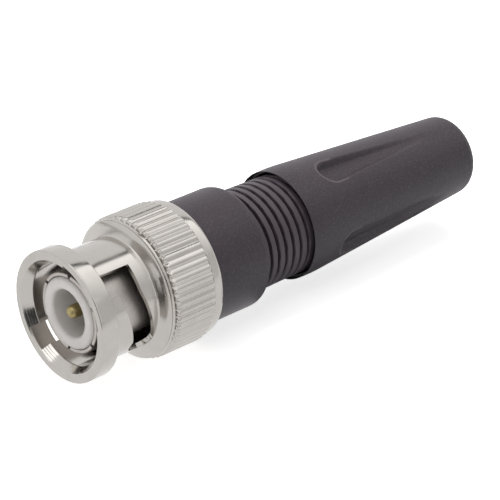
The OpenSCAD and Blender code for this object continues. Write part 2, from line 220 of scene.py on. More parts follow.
body_profile = rounded([
    (body_front, body_flange_r, 0.05),
    (body_flange_end, body_flange_r, 0.05),
    (body_flange_end, body_barrel_r, 0.08),
    (body_rear, body_barrel_r, 0.2),
    (body_rear, body_wiring_r, 0.1),
    (sleeve_rear, body_wiring_r, 0.05),
    (sleeve_rear, sleeve_r, 0.02),
    (body_front, sleeve_r, 0.05),
])
plug_body = new_piece("plug_body_turned", ring_surface(
    body_profile[:, :1], body_profile[:, 1:], even_columns(128)), nickel_plate)
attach(plug_body, "body")
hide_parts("plug_body")

# Contact sleeve: the outer contact, a thin nickel-plated tube pressed into the body.
# Six slits from its front edge leave spring fingers, which grip the inside of a jack.
sleeve_wall = 0.4
finger_count = 6
slit_w = 0.4
slit_end = sleeve_front + 2.2
slit_angle = math.radians(32.6)
slit_step = math.radians(0.05)


def step_columns(phi, edges, gap):
    """Moves the two columns around each edge angle to half a gap before and after it, so that a step there
    is steep. Gives the new columns and the index of the column after each edge."""
    turn = 2 * np.pi
    edges = (np.asarray(edges) - phi[0]) % turn + phi[0]
    after = np.searchsorted(phi, edges)
    phi = phi.copy()
    phi[after - 1] = edges - gap / 2
    phi[after % len(phi)] = edges + gap / 2 - turn * (after // len(phi))
    return phi, after % len(phi)


def between(count, starts, ends):
    """True for the cells from each start column up to its end column, round past the last if need be."""
    cell = np.arange(count)
    run = (np.asarray(ends) - starts) % count
    return ((cell[None] - np.asarray(starts)[:, None]) % count < run[:, None]).any(0)


# Satin nickel plate on spring brass: drawn, not turned, so it has no rings and blurs what it mirrors.
satin_nickel, tree, shader, place = new_material("satin_nickel_plate", 1.0, 0.42)
mottle = add(tree, "ShaderNodeTexNoise", None, {"Vector": place, "Scale": 1 / (0.25 * MM), "Detail": 3.0})
tone = add(tree, "ShaderNodeMix", {"data_type": "RGBA"},
           {"Factor": mottle.outputs["Fac"], first: linear("#b3aca7"), second: linear("#cbc6c1")})
relief = add(tree, "ShaderNodeBump", None,
             {"Strength": 1.0, "Distance": 0.004 * MM, "Height": mottle.outputs["Fac"]})
tree.links.new(tone.outputs[mixed], shader.inputs["Base Color"])
tree.links.new(relief.outputs["Normal"], shader.inputs["Normal"])

slit_middles = slit_angle + even_columns(finger_count)
slit_half = math.asin(slit_w / 2 / sleeve_r)
sleeve_phi, slit_edges = step_columns(
    even_columns(144), np.concatenate([slit_middles - slit_half, slit_middles + slit_half]), slit_step)
is_slit = between(len(sleeve_phi), slit_edges[:finger_count], slit_edges[finger_count:])
sleeve_corners = rounded([
    (sleeve_front, sleeve_r, 0.16),
    (sleeve_rear, sleeve_r, 0.04),
    (sleeve_rear, sleeve_r - sleeve_wall, 0.04),
    (sleeve_front, sleeve_r - sleeve_wall, 0.16),
])
outer_slit, inner_slit = (slit_end, sleeve_r), (slit_end, sleeve_r - sleeve_wall)
sleeve_profile = np.insert(sleeve_corners, [corner_points, 3 * corner_points], [outer_slit, inner_slit], 0)
front_rows = np.arange(corner_points + 1)
slit_cells = np.tile(is_slit, (corner_points, 1))
contact_sleeve = new_piece("contact_sleeve_slotted", ring_surface(
    sleeve_profile[:, :1], sleeve_profile[:, 1:], sleeve_phi,
    opening=(front_rows, len(sleeve_profile) - 1 - front_rows, slit_cells)), satin_nickel, 0.03)
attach(contact_sleeve, "body")
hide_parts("contact_sleeve")

# Insulator: a turned tube of white fluoropolymer, pressed into the sleeve.
# Its front is hollowed for the jack's own insulator, and its rear holds the pin.
insulator_front, insulator_rear = (corner.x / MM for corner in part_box("insulator"))
insulator_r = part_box("insulator")[1].z / MM
cavity_r = 2.375
cavity_end = insulator_front + 5.4
pin_front, pin_rear = (corner.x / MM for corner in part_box("centre_pin"))
pin_r = 0.675
cup_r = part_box("centre_pin")[1].y / MM
seat_gap = 0.02

# White fluoropolymer: waxy and a little translucent, with a satin cut surface and a faint cool cloudiness.
white_polymer, tree, shader, place = new_material("white_fluoropolymer", 0.0, 0.42)
cloud = add(tree, "ShaderNodeTexNoise", None, {"Vector": place, "Scale": 1 / (1.2 * MM), "Detail": 3.0})
tone = add(tree, "ShaderNodeMix", {"data_type": "RGBA"},
           {"Factor": cloud.outputs["Fac"], first: linear("#ccc8c5"), second: linear("#dad7d4")})
grain = add(tree, "ShaderNodeTexNoise", None, {"Vector": place, "Scale": 1 / (0.1 * MM), "Detail": 2.0})
relief = add(tree, "ShaderNodeBump", None,
             {"Strength": 1.0, "Distance": 0.0012 * MM, "Height": grain.outputs["Fac"]})
tree.links.new(tone.outputs[mixed], shader.inputs["Base Color"])
tree.links.new(relief.outputs["Normal"], shader.inputs["Normal"])
# Light spreads under the surface by about a millimetre
shader.inputs["Subsurface Weight"].default_value = 0.25
shader.inputs["Subsurface Radius"].default_value = (1.0, 1.0, 1.0)
shader.inputs["Subsurface Scale"].default_value = 0.9 * MM

insulator_profile = rounded([
    (insulator_front, insulator_r, 0.5),
    (insulator_rear, insulator_r, 0.1),
    (insulator_rear, cup_r + seat_gap, 0.05),
    (cavity_end, cup_r + seat_gap, 0.05),
    (cavity_end, cavity_r, 0.25),
    (insulator_front, cavity_r, 0.5),
], points=9)
insulator = new_piece("insulator_tube", ring_surface(
    insulator_profile[:, :1], insulator_profile[:, 1:], even_columns(128)), white_polymer)
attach(insulator, "body")
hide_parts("insulator")

# Centre pin: the inner contact, turned from brass with a thin gold flash.
# Its round-nosed front stands free in the insulator.
# Its rear is a solder cup, half cut away for the wire.
wire_r = 0.6
wire_hole_front = pin_rear - 3.4
scoop_front = (pin_rear + insulator_rear) / 2
pin_edge = 0.05
cup_edge = 0.03

# Gold-flashed brass: a dull olive yellow metal, blotchy where the flash is thin.
gilt_brass, tree, shader, place = new_material("gold_flashed_brass", 1.0, 0.34)
blotch = add(tree, "ShaderNodeTexNoise", None, {"Vector": place, "Scale": 1 / (0.35 * MM), "Detail": 4.0})
tone = add(tree, "ShaderNodeMix", {"data_type": "RGBA"},
           {"Factor": blotch.outputs["Fac"], first: linear("#7d6f44"), second: linear("#c2b384")})
relief = add(tree, "ShaderNodeBump", None,
             {"Strength": 1.0, "Distance": 0.004 * MM, "Height": blotch.outputs["Fac"]})
tree.links.new(tone.outputs[mixed], shader.inputs["Base Color"])
tree.links.new(relief.outputs["Normal"], shader.inputs["Normal"])

nose = np.linspace(0, np.pi / 2, 9)[:, None]
nose_profile = np.hstack([pin_front + pin_r - pin_r * np.cos(nose), pin_r * np.sin(nose)])
pin_profile = np.vstack([nose_profile, [
    (cavity_end, pin_r),
    (cavity_end, cup_r - pin_edge),
    (cavity_end + pin_edge, cup_r),
    (scoop_front, cup_r),
    (pin_rear - cup_edge, cup_r),
    (pin_rear, cup_r - cup_edge),
    (pin_rear, wire_r + cup_edge),
    (pin_rear - cup_edge, wire_r),
    (scoop_front, wire_r),
    (wire_hole_front, wire_r),
    (wire_hole_front - wire_r / 2, 0),
]])
rows_before_scoop = len(nose_profile) + 3
scoop_outer = rows_before_scoop + np.arange(3)
scoop_inner = scoop_outer[-1] + np.arange(3, 0, -1)
pin_columns = 48
pin_phi = even_columns(pin_columns)
is_scoop = np.tile(np.arange(pin_columns) < pin_columns // 2, (2, 1))
centre_pin = new_piece("centre_pin_gilt", ring_surface(
    pin_profile[:, :1], pin_profile[:, 1:], pin_phi, joined=False,
    opening=(scoop_outer, scoop_inner, is_scoop)), gilt_brass)
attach(centre_pin, "body")
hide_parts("centre_pin")

# Gasket: a moulded black rubber ring round the sleeve, in front of the body's flange.
# A jack's rim presses into its rounded face and seals there.
gasket_front, gasket_rear = (corner.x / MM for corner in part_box("gasket"))
gasket_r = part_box("gasket")[1].z / MM

# Black rubber: very dark and dull, with a fine moulded bloom.
seal_rubber, tree, shader, place = new_material("black_rubber", 0.0, 0.7)
bloom = add(tree, "ShaderNodeTexNoise", None, {"Vector": place, "Scale": 1 / (0.3 * MM), "Detail": 3.0})
tone = add(tree, "ShaderNodeMix", {"data_type": "RGBA"},
           {"Factor": bloom.outputs["Fac"], first: linear("#1c1b1c"), second: linear("#302e30")})
tree.links.new(tone.outputs[mixed], shader.inputs["Base Color"])

gasket_profile = rounded([
    (gasket_front, gasket_r, 0.38),
    (gasket_rear, gasket_r, 0.38),
    (gasket_rear, sleeve_r + seat_gap, 0.05),
    (gasket_front, sleeve_r + seat_gap, 0.05),
], points=7)
gasket = new_piece("gasket_ring", ring_surface(
    gasket_profile[:, :1], gasket_profile[:, 1:], even_columns(96)), seal_rubber)
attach(gasket, "body")
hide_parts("gasket")

# Wave washer: a flat ring stamped from spring steel sheet and bent into three waves.
# It lies behind the body's flange, and the nut squeezes it flat when the plug is locked.
wave_front, wave_rear = (corner.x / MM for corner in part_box("wave_washer"))
washer_outer_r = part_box("thrust_washer")[1].z / MM
washer_inner_r = 4.52
sheet_t = 0.2
wave_count = 3

# Rolled spring steel: a plain grey metal with faint rolling lines, twelve times as long as they are wide.
spring_steel, tree, shader, place = new_material("rolled_spring_steel", 1.0, 0.32)
stretch = add(tree, "ShaderNodeMapping", None, {"Vector": place, "Scale": (1.0, 1.0, 12.0)})
lines = add(tree, "ShaderNodeTexNoise", None,
            {"Vector": stretch.outputs["Vector"], "Scale": 1 / (1.5 * MM), "Detail": 3.0})
tone = add(tree, "ShaderNodeMix", {"data_type": "RGBA"},
           {"Factor": lines.outputs["Fac"], first: linear("#9d9d9a"), second: linear("#b9b9b6")})
tree.links.new(tone.outputs[mixed], shader.inputs["Base Color"])

wave_phi = even_columns(144)
wave_section = rounded([
    (wave_front, washer_outer_r, 0.03),
    (wave_front + sheet_t, washer_outer_r, 0.03),
    (wave_front + sheet_t, washer_inner_r, 0.03),
    (wave_front, washer_inner_r, 0.03),
])
wave_swing = (wave_rear - wave_front - sheet_t) / 2 * (1 - np.cos(wave_count * wave_phi))
wave_washer = new_piece("wave_washer_spring", ring_surface(
    wave_section[:, :1] + wave_swing, wave_section[:, 1:], wave_phi), spring_steel)
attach(wave_washer, "body")
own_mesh(wave_washer)
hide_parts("wave_washer")

# Thrust washer: a flat steel ring between the wave washer and the nut's lip.
# It lets the nut turn without dragging the spring round.
thrust_front, thrust_rear = (corner.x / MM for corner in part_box("thrust_washer"))
thrust_section = rounded([
    (thrust_front, washer_outer_r, 0.04),
    (thrust_rear, washer_outer_r, 0.04),
    (thrust_rear, washer_inner_r, 0.04),
    (thrust_front, washer_inner_r, 0.04),
])
thrust_washer = new_piece("thrust_washer_flat", ring_surface(
    thrust_section[:, :1], thrust_section[:, 1:], even_columns(96)), spring_steel)
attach(thrust_washer, "thrust_washer")
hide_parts("thrust_washer")

# Coupling nut: turned brass with a bright nickel plate, held on the body by its rear lip.
# A straight knurl is rolled round the grip. Two keyways and cam slots are milled through the neck.
nut_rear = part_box("coupling_nut")[1].x / MM
knurl_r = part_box("coupling_nut")[1].z / MM
nut_bore_r = 5.1
mouth_r = 5.65
mouth_end = 0.95
mouth_edge = 0.06
bore_edge = 0.08
flare_r = 5.88
mark_pitch = 0.2
mark_depth = 0.006
marks_front = 0.05 * mouth_end
flange_r = 6.6
flange_end = 1.94
neck_r = 5.55
neck_root = 0.1
shoulder_x = 7.65
shoulder_root = 0.12
shoulder_lean = 0.15
lean_front = shoulder_x - shoulder_lean
lean_end = shoulder_x + shoulder_lean
band_r = 7.0
bevel_r = 6.45
bevel_end = 8.02
groove_r = 6.72
knurl_front = 8.4
knurl_rear = nut_rear - 1.2
knurl_root_r = knurl_r - 0.32
ridge_count = 56
ridge_bevel = 0.2
valley_run = 0.35
valley_fill = 0.55
rim_round = 0.45
lip_front = thrust_rear
lip_r = washer_inner_r
row_gap = 0.03

key_middle = math.radians(135)
key_floor_r = 5.75
key_w = 2.4
key_half = math.asin(key_w / 2 / neck_r)
key_skin = 0.02
key_end = 6.0
flare_half = math.radians(36)
slot_half_w = 1.25
slot_x = 4.38
pocket_turn = math.radians(78)
slot_lead = 1.78 / pocket_turn
pocket_x = 5.94
pocket_r = 1.36
pocket_flat = 0.3
pocket_end = pocket_turn + math.sqrt(pocket_r**2 - pocket_flat**2) / neck_r
nut_step = math.radians(0.12)

# Each ridge of the knurl has eight columns: their distance from its middle as a share of the pitch,
# and their share of its height
ridge_at = np.array([-0.5, -0.44, -0.36, -0.2, 0, 0.2, 0.36, 0.44])
ridge_share = np.array([0, 0.07, 0.28, 0.74, 1, 0.74, 0.28, 0.07])
ridge_height = np.tile(ridge_share, ridge_count)
knurl_phi = ((np.arange(ridge_count)[:, None] + ridge_at) * 2 * np.pi / ridge_count).ravel()

half_turns = np.array([0, np.pi])
key_edges = (key_middle + half_turns)[:, None] + np.array([-key_half, key_half, pocket_end])
flare_edges = (key_middle + half_turns)[:, None] + np.array([-flare_half, flare_half])
neck_phi, at_edge = step_columns(knurl_phi, key_edges.ravel(), nut_step)
neck_phi, at_flare = step_columns(neck_phi, flare_edges.ravel(), nut_step)
at_edge, at_flare = at_edge.reshape(2, 3), at_flare.reshape(2, 2)
columns = len(neck_phi)
in_window = between(columns, at_edge[:, 0], at_edge[:, 2] - 1)
in_keyway = between(columns, at_edge[:, 0], at_edge[:, 1])
in_flare = between(columns, at_flare[:, 0], at_flare[:, 1])

# Front and rear edge of a window at each column: the keyway comes first, then the cam slot, then the round
# locking pocket. The angle turned is from the keyway's middle, and starts a little before the keyway.
before_key = 1.2 * key_half
turned_by = (neck_phi - key_middle + before_key) % np.pi - before_key
cam_x = slot_x + slot_lead * turned_by
off_pocket = (turned_by - pocket_turn) * neck_r
pocket_half = np.sqrt(np.maximum(pocket_r**2 - off_pocket**2, 0))
on_cam = turned_by < pocket_turn
window_front = np.where(on_cam, cam_x - slot_half_w, pocket_x)
window_front = np.minimum(window_front, np.where(pocket_half > 0, pocket_x - pocket_half, window_front))
window_front = np.where(in_keyway, flange_end + neck_root + row_gap, window_front)
window_rear = np.where(on_cam, np.maximum(cam_x + slot_half_w, key_end), pocket_x)
window_rear = np.maximum(window_rear, np.where(pocket_half > 0, pocket_x + pocket_half, window_rear))
window_rear = np.minimum(window_rear, lean_front - shoulder_root - row_gap)
beyond = turned_by > pocket_end
window_front = np.where(beyond, pocket_x - pocket_flat, window_front)
window_rear = np.where(beyond, pocket_x + pocket_flat, window_rear)

flange_corners = [
    (0, mouth_r, mouth_edge),
    (0, flange_r, 0.18),
    (flange_end, flange_r, 0.14),
    (flange_end, neck_r, neck_root),
]
shoulder_corners = [
    (lean_front, neck_r, shoulder_root),
    (lean_end, bevel_r, 0.2),
    # A fine line turned into the outer edge
    (bevel_end, band_r - 0.08, 0.07),
    (bevel_end + 0.03, band_r - 0.18, 0.02),
    (bevel_end + 0.08, band_r - 0.02, 0.02),
]
grip_corners = [
    # A groove, then the bevelled front ends of the ridges, worn over the valleys' run
    (knurl_front - 0.08, band_r, 0.04),
    (knurl_front - 0.04, groove_r, 0.03),
    (knurl_front + 0.06, groove_r, 0.03),
    (knurl_front + ridge_bevel, knurl_r, 0.08),
    (knurl_front + ridge_bevel + valley_run + row_gap, knurl_r, 0.02),
    # Their rear ends, where the band starts
    (knurl_rear - 0.3, knurl_r, 0.02),
    (knurl_rear - 0.1, knurl_r, 0.05),
    (knurl_rear, knurl_root_r + 0.06, 0.03),
    (knurl_rear + 0.06, band_r, 0.05),
    (nut_rear, band_r, rim_round),
]
lip_corners = [
    (nut_rear, lip_r, bore_edge),
    (lip_front, lip_r, bore_edge),
    (lip_front, nut_bore_r, bore_edge),
]
corners_before_bore = flange_corners + shoulder_corners + grip_corners + lip_corners
nut_corners = rounded(corners_before_bore + [(mouth_end, nut_bore_r, bore_edge)])
edge_gap = 0.01
mouth_x = np.linspace(mouth_end - bore_edge - edge_gap, mouth_edge + edge_gap, 24)
mouth_line = np.stack([mouth_x, mouth_r + (nut_bore_r - mouth_r) * mouth_x / mouth_end], -1)
nut_corners = np.vstack([nut_corners, mouth_line])
rows_before_neck = len(flange_corners) * corner_points
rows_before_bore = len(corners_before_bore) * corner_points

# The neck's rows run from the flange to the window's front edge, over the window, and on to the shoulder
front_steps, window_steps, rear_steps = 3, 6, 4
neck_rows = front_steps + window_steps + rear_steps - 1
neck_front = np.full(columns, flange_end + neck_root)
neck_rear = np.full(columns, lean_front - shoulder_root)
neck_x = np.vstack([
    np.linspace(neck_front, window_front, front_steps + 1)[1:],
    np.linspace(window_front, window_rear, window_steps + 1)[1:],
    np.linspace(window_rear, neck_rear, rear_steps + 1)[1:-1],
])
spread = np.ones(columns)
nut_x, nut_r = nut_corners[:, :1] * spread, nut_corners[:, 1:] * spread
nut_x = np.vstack([nut_x[:rows_before_neck], neck_x, nut_x[rows_before_neck:rows_before_bore],
                   neck_x[::-1], nut_x[rows_before_bore:]])
nut_r = np.vstack([nut_r[:rows_before_neck], np.full_like(neck_x, neck_r),
                   nut_r[rows_before_neck:rows_before_bore], np.full_like(neck_x, nut_bore_r),
                   nut_r[rows_before_bore:]])
row = np.arange(len(nut_x))[:, None]
outer_line = rows_before_neck + front_steps - 1 + np.arange(window_steps + 1)
inner_line = rows_before_bore + 2 * neck_rows - front_steps - np.arange(window_steps + 1)

# The ridges stand on the knurl's root, and their valleys get shallower behind the worn front ends
is_knurl = (nut_x > knurl_front) & (nut_x < knurl_rear + row_gap) & (nut_r > knurl_root_r)
valley_share = valley_fill * np.clip((nut_x - knurl_front - ridge_bevel) / valley_run, 0, 1)
ridges = valley_share + (1 - valley_share) * ridge_height
nut_r = np.where(is_knurl, knurl_root_r + (nut_r - knurl_root_r) * ridges, nut_r)

# The mouth opens wider beside each keyway, and the cutter leaves fine waves there
is_mouth = (row < corner_points) | ((row > inner_line[0]) & (nut_x < mouth_end))
in_cone = np.clip(1 - nut_x / mouth_end, 0, 1)
cutter_marks = mark_depth * np.sin(2 * np.pi * nut_x / mark_pitch) * (nut_x > marks_front)
nut_r = nut_r + is_mouth * in_flare * ((flare_r - mouth_r) * in_cone + cutter_marks)

# A keyway is deeper than the bore, and the skin over it keeps a little height above its floor
is_key_rim = (row > 2 * corner_points) & (row <= outer_line[0])
nut_r = np.where(is_key_rim & in_keyway, np.maximum(nut_r, key_floor_r + key_skin), nut_r)
nut_r = np.where((row >= inner_line[0]) & in_keyway, np.maximum(nut_r, key_floor_r), nut_r)

# The neck's columns turn into the ridges' columns between the shoulder and the groove
ridges_front = knurl_front - 0.1
toward_knurl = np.clip((nut_x - lean_end) / (ridges_front - lean_end), 0, 1)
nut_phi = neck_phi + (knurl_phi - neck_phi) * toward_knurl

coupling_nut = new_piece("coupling_nut_knurled", ring_surface(
    nut_x, nut_r, nut_phi,
    opening=(outer_line, inner_line, np.tile(in_window, (window_steps, 1)))), nickel_plate, 0.05)
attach(coupling_nut, "coupling_nut")
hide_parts("coupling_nut")

# Threaded collar: moulded in black plastic over the body's barrel, behind the nut.
# A right-hand thread with rounded crests runs along its stub and takes the cap.
collar_front, stub_end = (corner.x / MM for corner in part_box("threaded_collar"))
collar_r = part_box("threaded_collar")[1].z / MM
collar_end = collar_front + 6.8
collar_round = 0.9
thread_r = 5.3
thread_root_r = 4.82
thread_pitch = 1.0
thread_draft = 0.02
thread_groove = 0.05
thread_flank = 0.17
thread_angle = math.radians(259)
thread_rows = 150
# The crests are painted paler: partly rubbed wear, partly a painted highlight of the light they catch
crest_wear_and_sheen = 0.2
collar_points = 7

# Black moulded plastic: a faintly purple black, matte from a fine spark-eroded mould, paler in random specks,
# and paler along the thread's crests and the flutes' outlines, which is partly rubbed wear and partly painted
# highlight.
# The grain is about a tenth of a millimetre and is drawn a little coarser so that it shows.
black_plastic, tree, shader, place = new_material("black_moulded_plastic", 0.0, 0.46)
cloud = add(tree, "ShaderNodeTexNoise", None, {"Vector": place, "Scale": 1 / (2.5 * MM), "Detail": 4.0})
tone = add(tree, "ShaderNodeMix", {"data_type": "RGBA"},
           {"Factor": cloud.outputs["Fac"], first: linear("#271f26"), second: linear("#31272f")})
grain = add(tree, "ShaderNodeTexNoise", None, {"Vector": place, "Scale": 1 / (0.2 * MM), "Detail": 3.0})
relief = add(tree, "ShaderNodeBump", None,
             {"Strength": 1.0, "Distance": 0.03 * MM, "Height": grain.outputs["Fac"]})
pale_specks = add(tree, "ShaderNodeMapRange", None,
             {"Value": grain.outputs["Fac"], "From Min": 0.5, "From Max": 0.8, "To Min": 0.0, "To Max": 0.22})
# Paler along the thread's crests and the flutes' outlines, by a mesh attribute: partly rubbed wear, partly a
# painted highlight
wear_and_sheen = add(tree, "ShaderNodeAttribute", {"attribute_name": "edge_wear_and_sheen"})
paler = add(tree, "ShaderNodeMath", {"operation": "MAXIMUM"},
            {0: pale_specks.outputs["Result"], 1: wear_and_sheen.outputs["Fac"]})
tone = add(tree, "ShaderNodeMix", {"data_type": "RGBA"},
           {"Factor": paler.outputs["Value"], first: tone.outputs[mixed], second: linear("#766c75")})
tree.links.new(tone.outputs[mixed], shader.inputs["Base Color"])
tree.links.new(relief.outputs["Normal"], shader.inputs["Normal"])


def thread_share(x, phi):
    """Height of the thread, from 0 in the groove to 1 on the crest, by the distance from the groove's middle.
    The groove winds round as x / pitch - phi / turn. Its flanks follow the smooth step 3 t^2 - 2 t^3, and the
    groove's half width and the flank are shares of the pitch."""
    wound = (x - collar_end) / thread_pitch - (phi - thread_angle) / (2 * np.pi)
    t = np.clip((np.abs(wound - np.round(wound)) - thread_groove) / thread_flank, 0, 1)
    return t * t * (3 - 2 * t)


collar_corners = rounded([
    (collar_front, collar_r, 0.15),
    (collar_end, collar_r, collar_round),
    (collar_end, thread_r, 0.02),
    (stub_end, thread_root_r, 0.05),
    (stub_end, body_wiring_r, 0.05),
    (body_rear, body_wiring_r, 0.05),
    (body_rear, body_barrel_r + seat_gap, 0.05),
    (collar_front, body_barrel_r + seat_gap, 0.05),
], points=collar_points)
rows_before_thread = 3 * collar_points
thread_x = np.linspace(collar_end + row_gap, stub_end - 2 * row_gap, thread_rows)
thread_line = np.stack([thread_x, np.full_like(thread_x, thread_r)], -1)
collar_profile = np.insert(collar_corners, [rows_before_thread] * len(thread_line), thread_line, 0)
collar_phi = even_columns(240)
collar_x, collar_rows = collar_profile[:, :1], collar_profile[:, 1:]
# The thread starts at the middle of the corner at the stub's front end
thread_starts = rows_before_thread - collar_points // 2 - 1
on_thread = (np.arange(len(collar_x)) >= thread_starts)[:, None] & (collar_rows > thread_root_r)
crest_r = thread_r - thread_draft * (collar_x - collar_end)
cut_r = thread_root_r + (crest_r - thread_root_r) * thread_share(collar_x, collar_phi)
cut_r = np.minimum(cut_r, thread_root_r + np.maximum(stub_end - collar_x, 0))
threaded_collar = new_piece("threaded_collar_moulded", ring_surface(
    collar_x, np.where(on_thread, np.minimum(cut_r, collar_rows), collar_rows), collar_phi), black_plastic)


def add_wear_and_sheen(piece, paleness):
    """Gives a piece its pale-edge attribute, from 0 to 1, which pales the black plastic: partly rubbed wear,
    partly painted highlight.
    The second argument is the function that gives it, by station, clock angle and radius in mm."""
    at = np.empty(3 * len(piece.data.vertices))
    piece.data.vertices.foreach_get("co", at)
    x, y, z = at.reshape(-1, 3).T / MM
    edge_wear_and_sheen = piece.data.attributes.new("edge_wear_and_sheen", "FLOAT", "POINT")
    edge_wear_and_sheen.data.foreach_set("value", paleness(x, np.arctan2(z, y), np.hypot(y, z)))


def thread_wear_and_sheen(x, phi, r):
    """How far the crests are painted paler, partly for rubbed wear and partly as a painted highlight: the
    fourth power of the thread's height, on the outside of the stub.
    """
    return crest_wear_and_sheen * thread_share(x, phi) ** 4 * ((x > collar_end) & (r > thread_root_r))


add_wear_and_sheen(threaded_collar, thread_wear_and_sheen)
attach(threaded_collar, "body")
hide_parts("threaded_collar")

# Cable clamp: a moulded white sleeve round the cable, slit from its rear.
# The cone inside the cap closes its rear end on the cable as the cap is screwed up.
clamp_front, clamp_rear = (corner.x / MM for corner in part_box("cable_clamp"))
clamp_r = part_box("cable_clamp")[1].y / MM
cable_bore_r = 3.175
clamp_cone = clamp_rear - 2.6
clamp_nose_r = cable_bore_r + 0.375
clamp_slits = 4
clamp_slit_front = clamp_rear - 9
clamp_slit_w = 0.7
clamp_slit_half = math.asin(clamp_slit_w / 2 / clamp_r)
clamp_edge = 0.1
nose_edge = 0.05

# The first column lies just past the middle of the first slit
first_column = 0.01
clamp_middles = even_columns(clamp_slits)
clamp_phi, clamp_edges = step_columns(even_columns(96) + first_column, np.concatenate(
    [clamp_middles - clamp_slit_half, clamp_middles + clamp_slit_half]), slit_step)
is_clamp_slit = between(len(clamp_phi), clamp_edges[:clamp_slits], clamp_edges[clamp_slits:])
clamp_profile = np.array([
    (clamp_front, clamp_r - clamp_edge),
    (clamp_front + clamp_edge, clamp_r),
    (clamp_slit_front, clamp_r),
    (clamp_cone, clamp_r),
    (clamp_rear - nose_edge, clamp_nose_r),
    (clamp_rear, clamp_nose_r - nose_edge),
    (clamp_rear, cable_bore_r + nose_edge),
    (clamp_rear - nose_edge, cable_bore_r),
    (clamp_cone, cable_bore_r),
    (clamp_slit_front, cable_bore_r),
    (clamp_front + clamp_edge, cable_bore_r),
    (clamp_front, cable_bore_r + clamp_edge),
])
# The slits run over these rows, from their front ends to the nose
slit_outer = np.arange(2, 6)
slit_inner = np.arange(9, 5, -1)
clamp_slit_cells = np.tile(is_clamp_slit, (len(slit_outer) - 1, 1))
cable_clamp = new_piece("cable_clamp_slit", ring_surface(
    clamp_profile[:, :1], clamp_profile[:, 1:], clamp_phi,
    opening=(slit_outer, slit_inner, clamp_slit_cells)), white_polymer, 0.04)
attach(cable_clamp, "cable_clamp")
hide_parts("cable_clamp")

# Screw cap: moulded in the same black plastic, tapered, and partly unscrewed on the collar's thread.
# Four finger flutes start with a steep round end and run out towards the tail.
cap_front, cap_rear = (corner.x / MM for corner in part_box("screw_cap"))
# The front edge lies a little behind the solid's
cap_setback = 0.3
cap_front += cap_setback
cap_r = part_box("screw_cap")[1].z / MM
cap_front_r = 5.68
cap_nose = 2.6
taper_drop = 1.58
taper_run = 23.95
cap_slope = taper_drop / taper_run
# The taper, drawn on to the front edge, has the solid's widest radius this far behind it
swell_back = 0.85
cap_swell_r = cap_r + cap_slope * swell_back
cap_mouth_r = 5.64
cap_mouth_end = cap_front + 0.7
cap_bore_r = 5.38
cap_bore_end = cap_front + 3.35
clamp_gap = 0.1
clamp_room_r = clamp_r + clamp_gap
room_end = clamp_cone + clamp_gap
entry_front = clamp_rear + clamp_gap
entry_cone = 0.75
tail_x = cap_rear - 0.6
tail_drop = 0.5
taper_front = cap_front + 0.1
taper_rear = tail_x - 0.5
taper_rows = 190
cap_points = 8
flute_count = 4
flute_angle = math.radians(21)
flute_front = cap_front + 4.05
flute_run = 16.2
flute_half = 1.6
flute_tail_half = 0.5
flute_depth = 0.9
flute_wall = 0.6
# The flutes' outline is painted paler: partly rubbed wear, partly a painted highlight along the edges
wear_and_sheen_half = 0.11
wear_and_sheen_most = 0.55


def flute_inside(x, phi, r):
    """Distance in mm from a point on the cap's cone to the nearest flute's outline, negative outside it.
    The outline is a round end and two converging sides."""
    across = (phi - flute_angle + np.pi / flute_count) % (2 * np.pi / flute_count) - np.pi / flute_count
    aside = np.abs(across) * r
    past = x - flute_front
    half = flute_half + (flute_tail_half - flute_half) * (past - flute_half) / (flute_run - flute_half)
    return np.where(past < flute_half, flute_half - np.hypot(past - flute_half, aside), half - aside)


def flute_fade(x):
    """Share of the flutes' full depth: it falls evenly from 1 at the start to 0 where they run out."""
    return np.clip(1 - (x - flute_front) / flute_run, 0, 1)


def flute_cut(x, phi, r):
    """Depth of the flutes below the cap's cone, in mm. Their walls follow the smooth step 3 t^2 - 2 t^3,
    with t the distance to the outline by the wall's width, up to 1."""
    t = np.clip(flute_inside(x, phi, r) / flute_wall, 0, 1)
    return flute_depth * flute_fade(x) * t * t * (3 - 2 * t)


def flute_wear_and_sheen(x, phi, r):
    """How far the flutes' outline is painted paler, partly for rubbed wear and partly as a painted highlight:
    a bell curve exp(-(d / half)^2) of the distance d to it.
    """
    near_outline = np.exp(-(flute_inside(x, phi, r) / wear_and_sheen_half) ** 2)
    return wear_and_sheen_most * near_outline * np.sqrt(flute_fade(x)) * (r > cap_bore_r)


def cap_outline(x):
    """Radius of the cap's outside: a straight taper, drawn in at the front by the drop times (1 - t)^2,
    with t the distance from the front edge by the nose's length, up to 1."""
    t = np.clip((x - cap_front) / cap_nose, 0, 1)
    return cap_swell_r - cap_slope * (x - cap_front) - (cap_swell_r - cap_front_r) * (1 - t) ** 2


cap_corners = rounded([
    (cap_front, cap_front_r, 0.03),
    (tail_x, cap_outline(tail_x), 0.4),
    (cap_rear, cap_outline(tail_x) - tail_drop, 0.3),
    (cap_rear, cable_bore_r, 0.15),
    (entry_front + entry_cone, cable_bore_r, 0.05),
    (entry_front, clamp_nose_r + clamp_gap, 0.05),
    (room_end, clamp_room_r, 0.1),
    (cap_bore_end, clamp_room_r, 0.05),
    (cap_bore_end, cap_bore_r, 0.05),
    (cap_mouth_end, cap_bore_r, 0.03),
    (cap_mouth_end, cap_mouth_r, 0.03),
    (cap_front, cap_mouth_r, 0.02),
], points=cap_points)
rows_before_taper = cap_points
taper_x = np.linspace(taper_front, taper_rear, taper_rows)
taper_line = np.stack([taper_x, cap_outline(taper_x)], -1)
cap_profile = np.insert(cap_corners, [rows_before_taper] * len(taper_line), taper_line, 0)

